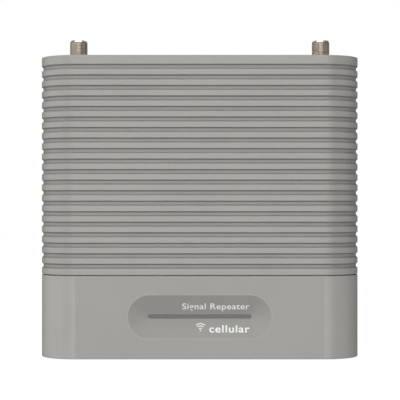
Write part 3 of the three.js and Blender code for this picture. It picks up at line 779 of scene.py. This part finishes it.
def band_with_hole(y, low_z, high_z, hole, facing_front):
    """The flat front of the base between two heights, as two faces round a stadium hole."""
    left, right = -CORNER_X, CORNER_X
    below = [(left, RECESS_Z), (left, low_z), (right, low_z), (right, RECESS_Z)]
    above = [(right, RECESS_Z), (right, high_z), (left, high_z), (left, RECESS_Z)]
    half = len(hole) // 2
    quarter = half // 2
    # The stadium's points run from its lower right, up the right end, over to the left end and down.
    closed = hole[quarter:] + hole[: quarter + 1]
    faces = []
    for corners, edge in ((below, closed[half:]), (above, closed[: half + 1])):
        faces.append([Vector((x, y, z)) for x, z in corners] + list(reversed(edge)))
    return faces if facing_front else [list(reversed(face)) for face in faces]


def on_front_flat(face, y):
    """Whether a face is one of the wide flat ones of the base's front, at a depth y."""
    width = max(point.x for point in face) - min(point.x for point in face)
    return len(face) == 4 and width > CORNER_X and all(abs(point.y - y) < WELD_DISTANCE for point in face)


def base_faces():
    """A cup: under its floor, up the outside, over the tongue, down the inside, and the recess."""
    floor_top = BASE_BOTTOM + FLOOR_THICKNESS
    profile = [
        (2 * BASE_EDGE, BASE_BOTTOM),
        (0, BASE_BOTTOM, BASE_EDGE),
        (0, RECESS_Z),
        (0, BASE_TOP, SEAM_EDGE),
        (TONGUE_INSET, BASE_TOP, FINE_EDGE),
        (TONGUE_INSET, TONGUE_TOP, SOFT_EDGE),
        (TONGUE_INSET + TONGUE_WALL, TONGUE_TOP, SOFT_EDGE),
        (TONGUE_INSET + TONGUE_WALL, TONGUE_ROOT),
        (BASE_WALL, TONGUE_ROOT),
        (BASE_WALL, RECESS_Z),
        (BASE_WALL, floor_top, FLOOR_FILLET),
        (BASE_WALL + FLOOR_BORDER, floor_top),
    ]
    rings = [outline_ring(inset, z) for inset, z in rounded(profile, steps=5)]
    heights = {-HALF_DEPTH: [], -HALF_DEPTH + BASE_WALL: []}
    faces = []
    for face in skin(rings, True):
        flats = [y for y in heights if on_front_flat(face, y)]
        if flats:
            heights[flats[0]] += [point.z for point in face]
        else:
            faces.append(face)
    valley = rounded([
        (RECESS_RADIUS + RECESS_RIM, 0),
        (RECESS_RADIUS, 0, RECESS_FILLET),
        (SLOT_RADIUS, SLOT_DEPTH, FINE_EDGE),
        (SLOT_RADIUS, PAD_BACK, FINE_EDGE),
        (PAD_RADIUS, PAD_BACK, PAD_EDGE),
        (PAD_RADIUS, BASE_WALL),
    ], steps=6)
    rings = [stadium_ring(radius, -HALF_DEPTH + depth) for radius, depth in valley]
    faces += skin(rings)
    for y, hole, facing_front in zip(heights, (rings[0], rings[-1]), (True, False)):
        faces += band_with_hole(y, min(heights[y]), max(heights[y]), hole, facing_front)
    return faces


def in_recess(face):
    """Whether a face of the base lies on the recess's slopes or their rounded rim."""
    point = face.center
    past_straight = max(abs(point.x) - RECESS_HALF_STRAIGHT, 0)
    from_valley = math.hypot(past_straight, point.z - RECESS_Z)
    return point.y < -HALF_DEPTH + PAD_BACK and from_valley < RECESS_RADIUS + RECESS_RIM / 2


def build_base():
    base = solid("base_band", base_faces())
    low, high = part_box(FEET[0])
    pocket_radius = (high.x - low.x) / 2 + VISIBLE_GAP
    pocket_top = high.z + FOOT_GAP
    foot = BASE_BOTTOM + FLOOR_THICKNESS / 2
    well = [
        (0, -OVERRUN),
        (pocket_radius, -OVERRUN),
        (pocket_radius, pocket_top),
        (SCREW_WELL, pocket_top),
        (SCREW_WELL, SCREW_SEAT),
        (SCREW_HOLE, SCREW_SEAT),
        (SCREW_HOLE, POST_TOP + OVERRUN),
        (0, POST_TOP + OVERRUN),
    ]
    posts = []
    wells = []
    for place in foot_places():
        here = Matrix.Translation(place)
        posts += moved(rod(POST_RADIUS, foot, POST_TOP, 32, 0, SOFT_EDGE), here)
        wells += moved(turned(well, 48), here)
    combine(base, posts, "UNION")
    combine(base, wells, "DIFFERENCE")
    finish_piece(base, "base_plastic", ["base_housing"], 50)
    # Painted shade: a darker tone on the recess's slopes and their rim.
    coat_where(base, RECESS_SHADE, in_recess)


def build_feet():
    """Round rubber feet with a soft lower edge and a shallow ring round the middle."""
    for name, place in zip(FEET, foot_places()):
        low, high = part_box(name)
        radius = (high.x - low.x) / 2
        profile = [
            (0, FOOT_DISH),
            (0.55 * radius, FOOT_DISH, FINE_EDGE),
            (0.62 * radius, 0, FINE_EDGE),
            (radius, 0, FOOT_EDGE),
            (radius, high.z, FOOT_TOP_EDGE),
            (0, high.z),
        ]
        faces = moved(turned(rounded(profile)), Matrix.Translation(place))
        make_piece(f"{name}_rubber", faces, "foot_rubber", [name])


# ---- light bar and print

# The record has no slot for ink, so the print takes the slot of the other printed piece.
PRINT_SLOT = "rear_label_stock"
PRINT_LIFT = 0.012 * MM
PRINT_THICKNESS = 0.012 * MM
PRINT_END = 26.3 * MM
MARK_X = 0.35 * MM
MARK_DOWN = 7.6 * MM
MARK_DOT = 0.42 * MM
MARK_PITCH = 1.25 * MM
MARK_HALF_LINE = 0.24 * MM
MARK_ARCS = 3


def build_light_bar():
    """A smoked bar that fills the slot, with a wider flange behind the wall."""
    face = SLOT_DEPTH + BAR_DROP
    flange = PAD_BACK + BAR_FLANGE_GAP
    back = flange + BAR_FLANGE_THICKNESS
    radius = SLOT_RADIUS - BAR_GAP
    profile = rounded([
        (BAR_MIDDLE, back),
        (BAR_FLANGE_RADIUS, back, BAR_FLANGE_EDGE),
        (BAR_FLANGE_RADIUS, flange, BAR_FLANGE_EDGE),
        (radius, flange, FINE_EDGE),
        (radius, face, BAR_EDGE),
        (BAR_MIDDLE, face),
    ], steps=4)
    rings = [stadium_ring(width, -HALF_DEPTH + depth) for width, depth in profile]
    make_piece("light_bar_lens", skin(rings, True), "light_diffuser", ["light_bar"])


def slope_matrix(upper, x, along):
    """From flat artwork, X right and Y up, to a place on a slope of the recess, along from its valley."""
    length = math.hypot(RECESS_RADIUS, RECESS_DEPTH)
    sine = RECESS_DEPTH / length
    cosine = RECESS_RADIUS / length
    side = 1 if upper else -1
    right = Vector((1, 0, 0))
    up = Vector((0, -side * sine, cosine))
    out = right.cross(up)
    valley = Vector((x, -HALF_DEPTH + RECESS_DEPTH, RECESS_Z))
    place = valley + up * along + out * PRINT_LIFT
    axes = Matrix((right, up, out)).transposed().to_4x4()
    return Matrix.Translation(place) @ axes


def lettering(name, words, size, width, boldness, spacing, matrix):
    """Generic words as thin printed ink, ending at the matrix's origin."""
    curve = bpy.data.curves.new(name, "FONT")
    curve.body = words
    curve.align_x = "RIGHT"
    curve.size = size
    curve.offset = boldness
    curve.space_character = spacing
    curve.extrude = PRINT_THICKNESS / 2
    curve.resolution_u = 6
    source = loose_object(name + "_outline", curve)
    graph = bpy.context.evaluated_depsgraph_get()
    mesh = bpy.data.meshes.new_from_object(source.evaluated_get(graph))
    bpy.data.objects.remove(source)
    mesh.transform(matrix @ Matrix.Diagonal((width, 1, 1, 1)))
    finish_piece(loose_object(name, mesh), PRINT_SLOT, material=MATERIALS["print_white"])


def flat_band(inner, outer, start, end, steps):
    """A flat arc of ink between two radii, from one angle in degrees to another."""
    outline = arc((0, 0), outer, start, end, steps) + arc((0, 0), inner, end, start, steps)
    half = PRINT_THICKNESS / 2
    return skin([[Vector((x, y, z)) for x, y in outline] for z in (-half, half)], True)


def build_print():
    """White print on the recess's slopes: plain generic words, and a mark of arcs over a dot."""
    upper_place = slope_matrix(True, PRINT_END, 4.15 * MM)
    lower_place = slope_matrix(False, PRINT_END, -8.6 * MM)
    lettering("print_upper", "Signal Repeater", 4.8 * MM, 1.12, 0.04 * MM, 1.06, upper_place)
    lettering("print_lower", "cellular", 5.6 * MM, 1.18, 0.09 * MM, 1.1, lower_place)
    half = PRINT_THICKNESS / 2
    mark = rod(MARK_DOT, -half, half, 24)
    for number in range(1, MARK_ARCS + 1):
        middle = number * MARK_PITCH
        mark += flat_band(middle - MARK_HALF_LINE, middle + MARK_HALF_LINE, 50, 130, 14)
    faces = moved(mark, slope_matrix(False, MARK_X, -MARK_DOWN))
    make_piece("print_mark", faces, PRINT_SLOT, material=MATERIALS["print_white"])


# ---- ports

PORT_SEGMENTS = 64
PORT_TAIL_RADIUS = 4.2 * MM
PORT_TAIL_WALL = 2.5 * MM
THREAD_END = 0.1 * MM
CONTACT_HOLE = 0.9 * MM
FLANGE_TOP = ROOF_UNDERSIDE - 0.3 * MM
FLANGE_HEIGHT = 3 * MM
FLANGE_HOLE = 4.9 * MM
FLANGE_RADIUS = 7.2 * MM


def thread_radius(angle, z):
    """The radius of a right-handed rolled thread, with broad worn crests and narrow roots."""
    phase = (z / THREAD_PITCH - angle / math.tau) % 1.0
    valley = max(0.0, min(1.0, (abs(2 * phase - 1) - THREAD_CREST) / THREAD_FLANK))
    return PORT_RADIUS - THREAD_DEPTH * valley


def thread_ring(z):
    ring = []
    for number in range(PORT_SEGMENTS):
        angle = math.tau * number / PORT_SEGMENTS
        radius = thread_radius(angle, z)
        ring.append(Vector((radius * math.cos(angle), radius * math.sin(angle), z)))
    return ring


def port_rings(bottom, top):
    """A threaded barrel: its tail, up the outside, over the chamfered end and down its bore."""
    neck = FLANGE_TOP - FLANGE_HEIGHT
    thread_top = top - PORT_CHAMFER_HEIGHT
    shoulder = PORT_RADIUS - THREAD_END
    bore_bottom = bottom + PORT_TAIL_WALL
    tail = rounded([
        (CONTACT_HOLE, bottom),
        (PORT_TAIL_RADIUS, bottom, SOFT_EDGE),
        (PORT_TAIL_RADIUS, neck),
        (PORT_RADIUS - THREAD_DEPTH, neck),
    ])
    end = rounded([
        (shoulder, thread_top + THREAD_END),
        (shoulder, thread_top + 2 * THREAD_END, FINE_EDGE / 2),
        (PORT_RADIUS - PORT_CHAMFER_IN, top, FINE_EDGE),
        (PORT_BORE + 0.2 * MM, top, FINE_EDGE),
        (PORT_BORE, top - 0.3 * MM, FINE_EDGE),
        (PORT_BORE, bore_bottom),
        (CONTACT_HOLE, bore_bottom),
        (CONTACT_HOLE, bottom),
    ])
    rings = turned_rings(tail, PORT_SEGMENTS)
    steps = int((thread_top - neck) / THREAD_PITCH * THREAD_STEPS)
    rings += [thread_ring(neck + (thread_top - neck) * step / steps) for step in range(1, steps + 1)]
    return rings + turned_rings(end, PORT_SEGMENTS)


def build_port(name):
    """A coaxial port: threaded barrel with a hexagonal flange under the roof, and its insulator."""
    x, top = PORTS[name]
    place = Matrix.Translation((x, 0, 0))
    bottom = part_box(f"{name}_port_barrel")[0].z
    barrel = moved(skin(port_rings(bottom, top)), place)
    shell = make_piece(f"{name}_port_shell", barrel, "port_nickel", [f"{name}_port_barrel"], 60)
    # Painted highlight: near-white metal on the chamfer's upward faces.
    chamfer_bottom = top - PORT_CHAMFER_HEIGHT + 2 * THREAD_END
    coat_where(
        shell,
        CHAMFER_HIGHLIGHT,
        lambda face: face.center.z > chamfer_bottom and face.normal.z > CHAMFER_SLOPE,
    )
    flange = rounded([
        (FLANGE_HOLE, -FLANGE_HEIGHT),
        (FLANGE_RADIUS, -FLANGE_HEIGHT, SOFT_EDGE),
        (FLANGE_RADIUS, 0, SOFT_EDGE),
        (FLANGE_HOLE, 0),
        (FLANGE_HOLE, -FLANGE_HEIGHT),
    ])
    faces = moved(turned(flange, 6), Matrix.Translation((x, 0, FLANGE_TOP)))
    make_piece(f"{name}_port_flange", faces, "port_nickel")
    low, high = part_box(f"{name}_port_insulator")
    outer = PORT_BORE - 0.06 * MM
    hole = 0.8 * MM
    dish = high.z - 0.25 * MM
    insulator = rounded([
        (hole, low.z),
        (outer, low.z, 0.2 * MM),
        (outer, high.z, 0.25 * MM),
        (2.1 * MM, high.z, FINE_EDGE),
        (1.9 * MM, dish, FINE_EDGE),
        (1.45 * MM, dish, FINE_EDGE),
        (hole, high.z - 1.1 * MM, FINE_EDGE),
        (hole, low.z),
    ])
    faces = moved(turned(insulator), place)
    make_piece(f"{name}_port_dielectric", faces, "insulator", [f"{name}_port_insulator"])


# ---- power inlet

JACK_BLOCK_TOP = JACK_HIGH.z - 5 * MM
JACK_BORE_BOTTOM = JACK_HIGH.z - 13 * MM
JACK_BLOCK_CORNER = 0.8 * MM
JACK_NOSE_EDGE = 0.25 * MM
JACK_CHAMFER = 0.55 * MM
JACK_PIN_RADIUS = 1 * MM
JACK_CLEARANCE = 0.3 * MM


def block_rings(low, high, radius, edge):
    """A rounded block standing along Z, with softened upper and lower edges."""
    centre = (low + high) / 2
    profile = rounded([(2 * edge, low.z), (0, low.z, edge), (0, high.z, edge), (2 * edge, high.z)])
    rings = []
    for inset, z in profile:
        width = high.x - low.x - 2 * inset
        depth = high.y - low.y - 2 * inset
        flat = rounded_rect_ring(width, depth, radius, 0, 0, 4)
        rings.append([Vector((centre.x + point.x, centre.y - point.z, z)) for point in flat])
    return rings


def build_power_inlet():
    """The barrel jack: a black block below the roof, its round nose in the roof, and a pin."""
    block_high = Vector((JACK_HIGH.x, JACK_HIGH.y, JACK_BLOCK_TOP))
    block = block_rings(JACK_LOW, block_high, JACK_BLOCK_CORNER, SOFT_EDGE)
    jack = solid("jack_body_shell", skin(block, True))
    face = JACK_HIGH.z - 0.02 * MM
    bore = [(0, JACK_BORE_BOTTOM), (JACK_BORE, JACK_BORE_BOTTOM), *mouth(JACK_BORE, face, JACK_CHAMFER)]
    hole_radius = JACK_PIN_RADIUS + JACK_CLEARANCE
    pin_hole = rod(hole_radius, JACK_LOW.z - OVERRUN, JACK_BORE_BOTTOM + OVERRUN, 32)
    combine(jack, rod(JACK_NOSE, JACK_BLOCK_TOP - OVERRUN, face, 64, 0, JACK_NOSE_EDGE), "UNION")
    combine(jack, turned(bore, 64), "DIFFERENCE")
    combine(jack, pin_hole, "DIFFERENCE")
    spring_low, spring_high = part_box("power_jack_spring")
    margin = Vector((1, 1, 1)) * JACK_CLEARANCE
    pocket = block_rings(spring_low - margin, spring_high + margin, FINE_EDGE, FINE_EDGE / 5)
    combine(jack, skin(pocket, True), "DIFFERENCE")
    finish_piece(jack, "jack_plastic", ["power_jack_body"])
    low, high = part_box("power_jack_pin")
    pin = rod(JACK_PIN_RADIUS, low.z, high.z, 32, 0.2 * MM, 0.8 * JACK_PIN_RADIUS, 6)
    make_piece("jack_centre_pin", pin, "port_nickel", ["power_jack_pin"])


# ---- rear plate, its screws and its label

KEYHOLE_X = 38 * MM
KEYHOLE_Z = 120 * MM
KEYHOLE_RADIUS = 4.25 * MM
KEYHOLE_SLOT = 2.2 * MM
KEYHOLE_RISE = 8 * MM
KEYHOLE_CHAMFER = 0.35 * MM
PLATE_EDGE = 0.45 * MM
LABEL_POCKET = 0.6 * MM
LABEL_GAP = 0.2 * MM
LABEL_CORNER = 1.5 * MM
SCREW_SEAT_DEPTH = 1.5 * MM
SCREW_SEAT_RADIUS = 3.2 * MM
SCREW_HEAD_RADIUS = 2.9 * MM
SCREW_HEAD_HEIGHT = 1.1 * MM
SCREW_RADIUS = 1.5 * MM
SCREW_TIP_RADIUS = 1.1 * MM
SCREW_TIP_HEIGHT = 0.8 * MM
CROSS_LENGTH = 3 * MM
CROSS_WIDTH = 0.75 * MM
CROSS_DEPTH = 0.8 * MM
CROSS_TURNS = (25, 115)
REAR_SCREWS = [name for name in frame["nodes"] if name.startswith("rear_screw_")]


def keyhole_ring(x, y, grow):
    """A round hole with a narrower slot above it, clockwise seen from the front."""
    round_radius = KEYHOLE_RADIUS + grow
    slot_radius = KEYHOLE_SLOT + grow
    half = math.degrees(math.asin(slot_radius / round_radius))
    ring = arc((x, KEYHOLE_Z), round_radius, 90 + half, 450 - half, KEYHOLE_STEPS)
    ring += arc((x, KEYHOLE_Z + KEYHOLE_RISE), slot_radius, 0, 180, KEYHOLE_STEPS)
    return [Vector((x, y, z)) for x, z in reversed(ring)]


def keyhole_cutter(x):
    depths = [
        (PLATE_LOW.y - OVERRUN, 0),
        (HALF_DEPTH - KEYHOLE_CHAMFER, 0),
        (HALF_DEPTH + MOUTH_OVERRUN, KEYHOLE_CHAMFER + MOUTH_OVERRUN),
    ]
    return skin([keyhole_ring(x, y, grow) for y, grow in depths], True)


def screw_seat(name):
    """A cutter for a rear screw's hole and counterbore in the plate."""
    middle = middle_of(name)
    seat_face = HALF_DEPTH - SCREW_SEAT_DEPTH
    seat = [
        (0, PLATE_LOW.y - OVERRUN),
        (SCREW_HOLE, PLATE_LOW.y - OVERRUN),
        (SCREW_HOLE, seat_face),
        (SCREW_SEAT_RADIUS, seat_face),
        *mouth(SCREW_SEAT_RADIUS, HALF_DEPTH, MOUTH_CHAMFER),
    ]
    return moved(turned(seat), facing_y((middle.x, 0, middle.z)))


def build_rear_plate():
    """A flat plate with softened edges, two keyholes, four counterbored seats and a label pocket."""
    profile = [(0, PLATE_LOW.y), (0, HALF_DEPTH, PLATE_EDGE), (2 * PLATE_EDGE, HALF_DEPTH)]
    rings = []
    for inset, y in rounded(profile, steps=4):
        width = PLATE_WIDTH - 2 * inset
        height = PLATE_HEIGHT - 2 * inset
        rings.append(rounded_rect_ring(width, height, PLATE_CORNER - inset, y, PLATE_CENTRE_Z))
    sheet = solid("rear_mounting_plate", skin(rings, True))
    cutters = keyhole_cutter(-KEYHOLE_X) + keyhole_cutter(KEYHOLE_X)
    for name in REAR_SCREWS:
        cutters += screw_seat(name)
    low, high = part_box("rear_label")
    cutters += rect_solid(
        high.x - low.x + 2 * LABEL_GAP,
        high.z - low.z + 2 * LABEL_GAP,
        LABEL_CORNER + LABEL_GAP,
        HALF_DEPTH - LABEL_POCKET,
        HALF_DEPTH + OVERRUN,
        (low.z + high.z) / 2,
    )
    combine(sheet, cutters, "DIFFERENCE")
    finish_piece(sheet, "housing_paint", ["rear_plate"], 50)


def build_rear_label():
    low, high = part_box("rear_label")
    centre_z = (low.z + high.z) / 2
    film = rect_solid(high.x - low.x, high.z - low.z, LABEL_CORNER, low.y, high.y, centre_z)
    make_piece("rear_label_film", film, "rear_label_stock", ["rear_label"])


def tapered_blade(length, width, depth):
    """One arm of a cross recess: a bar that narrows towards its bottom, open at Z = 0."""
    rings = []
    for share, z in ((0.45, -depth), (1.0, 0.0), (1.1, SOFT_EDGE)):
        x = length / 2 * share
        y = width / 2 * (0.6 + 0.4 * share)
        rings.append([Vector((-x, -y, z)), Vector((x, -y, z)), Vector((x, y, z)), Vector((-x, y, z))])
    return skin(rings, True)


def build_rear_screws():
    """Pan-head screws with a cross recess, their heads towards the back."""
    for name in REAR_SCREWS:
        low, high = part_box(name)
        middle = middle_of(name)
        under_head = high.y - SCREW_HEAD_HEIGHT
        profile = rounded([
            (0, low.y),
            (SCREW_TIP_RADIUS, low.y, FINE_EDGE),
            (SCREW_RADIUS, low.y + SCREW_TIP_HEIGHT, FINE_EDGE),
            (SCREW_RADIUS, under_head),
            (SCREW_HEAD_RADIUS, under_head, 0.12 * MM),
            (SCREW_HEAD_RADIUS, high.y, 0.6 * MM),
            (0, high.y),
        ], steps=5)
        screw = solid(f"{name}_pan_head", moved(turned(profile), facing_y((middle.x, 0, middle.z))))
        face = facing_y((middle.x, high.y, middle.z))
        for turn in CROSS_TURNS:
            blade = tapered_blade(CROSS_LENGTH, CROSS_WIDTH, CROSS_DEPTH)
            spin = Matrix.Rotation(math.radians(turn), 4, "Z")
            combine(screw, moved(blade, face @ spin), "DIFFERENCE")
        finish_piece(screw, "screw_steel", [name])


# ---- stage, lights and camera

LOOK_AT = Vector((0, 0, 83 * MM))
CAMERA_PLACE = Vector((0.15 * MM, -754.4 * MM, 83.15 * MM))
CAMERA_LENS = 125.1
CAMERA_SHIFT_Y = 0.0075

# Each softbox: its name, azimuth and elevation in degrees, distance, width and height in metres, and watts.
SOFTBOXES = [
    ("front", 0, 1, 1.9, 1.7, 1.3, 17.4),
    ("left_strip", -52, 3, 1.7, 0.3, 1.4, 3.5),
    ("left", -80, 8, 2.0, 1.3, 1.6, 6.8),
    ("left_rear", -105, 8, 2.0, 1.3, 1.6, 3.3),
    ("right", 75, 8, 2.0, 1.3, 1.6, 3.8),
    ("top", 0, 75, 1.5, 1.2, 1.2, 6.0),
    ("top_left", -40, 66, 1.5, 1.2, 1.2, 7.0),
    ("rear", 180, 42, 1.9, 1.1, 1.0, 18.0),
]
WHITE = (1, 1, 1, 1)
SKY_STRENGTH = 0.15
GROUND_STRENGTH = 0.3
HORIZON_BLEND = 0.6
FLOOR_RADIUS = 2.5
FLOOR_DROP = 0.05 * MM
FLOOR_COLOR = (0.12, 0.12, 0.12, 1)
FLOOR_GLOW = 0.97


def build_softboxes():
    for name, azimuth, elevation, distance, width, height, power in SOFTBOXES:
        data = bpy.data.lights.new(f"{name}_softbox", "AREA")
        data.shape = "RECTANGLE"
        data.size = width
        data.size_y = height
        data.energy = power
        lamp = loose_object(f"{name}_softbox", data)
        around = math.radians(azimuth)
        up = math.radians(elevation)
        out = math.cos(up)
        towards = Vector((math.sin(around) * out, -math.cos(around) * out, math.sin(up)))
        lamp.location = LOOK_AT + towards * distance
        lamp.rotation_euler = towards.to_track_quat("Z", "Y").to_euler()
        lamp.visible_camera = False


def build_world():
    """A plain white surround. What it gives the object from below stands for a pale table's light."""
    world = bpy.data.worlds.new("studio_surround")
    bpy.context.scene.world = world
    world.use_nodes = True
    world.node_tree.nodes.clear()
    add = world.node_tree.nodes.new
    link = world.node_tree.links.new
    output = add("ShaderNodeOutputWorld")
    seen = add("ShaderNodeBackground")
    lit = add("ShaderNodeBackground")
    path = add("ShaderNodeLightPath")
    either = add("ShaderNodeMixShader")
    place = add("ShaderNodeTexCoord")
    parts = add("ShaderNodeSeparateXYZ")
    height = add("ShaderNodeMapRange")
    fill(seen, Color=WHITE)
    fill(lit, Color=WHITE)
    height.interpolation_type = "SMOOTHSTEP"
    fill(height, From_Min=-HORIZON_BLEND, From_Max=HORIZON_BLEND)
    fill(height, To_Min=GROUND_STRENGTH, To_Max=SKY_STRENGTH)
    link(place.outputs["Generated"], parts.inputs["Vector"])
    link(parts.outputs["Z"], height.inputs["Value"])
    link(height.outputs["Result"], lit.inputs["Strength"])
    link(path.outputs["Is Camera Ray"], either.inputs["Fac"])
    link(lit.outputs["Background"], either.inputs[1])
    link(seen.outputs["Background"], either.inputs[2])
    link(either.outputs["Shader"], output.inputs["Surface"])


def build_floor():
    """A white floor that glows, so that it stays pale up to the object's contact shadow."""
    material = bpy.data.materials.new("studio_floor")
    material.use_nodes = True
    shader = material.node_tree.nodes["Principled BSDF"]
    fill(shader, Base_Color=FLOOR_COLOR, Roughness=1.0, Specular_IOR_Level=0.0)
    fill(shader, Emission_Color=WHITE, Emission_Strength=FLOOR_GLOW)
    disc = mesh_of("studio_floor", [circle_ring(FLOOR_RADIUS, -FLOOR_DROP, 96)])
    disc.materials.append(material)
    floor = loose_object("studio_floor", disc)
    floor.visible_diffuse = False
    floor.visible_glossy = False
    floor.visible_shadow = False


def build_camera():
    data = bpy.data.cameras.new("photo_camera")
    data.sensor_width = 36
    data.lens = CAMERA_LENS
    data.shift_y = CAMERA_SHIFT_Y
    data.clip_start = 0.01
    data.clip_end = 20
    camera = loose_object("photo_camera", data)
    camera.location = CAMERA_PLACE
    camera.rotation_euler = (math.radians(90), 0, 0)
    bpy.context.scene.camera = camera


build_camera()
build_world()
build_softboxes()
build_floor()
bpy.context.scene.view_settings.view_transform = "Standard"

build_housing()
build_base()
build_feet()
build_light_bar()
build_print()
for port in PORTS:
    build_port(port)
build_power_inlet()
build_rear_plate()
build_rear_label()
build_rear_screws()
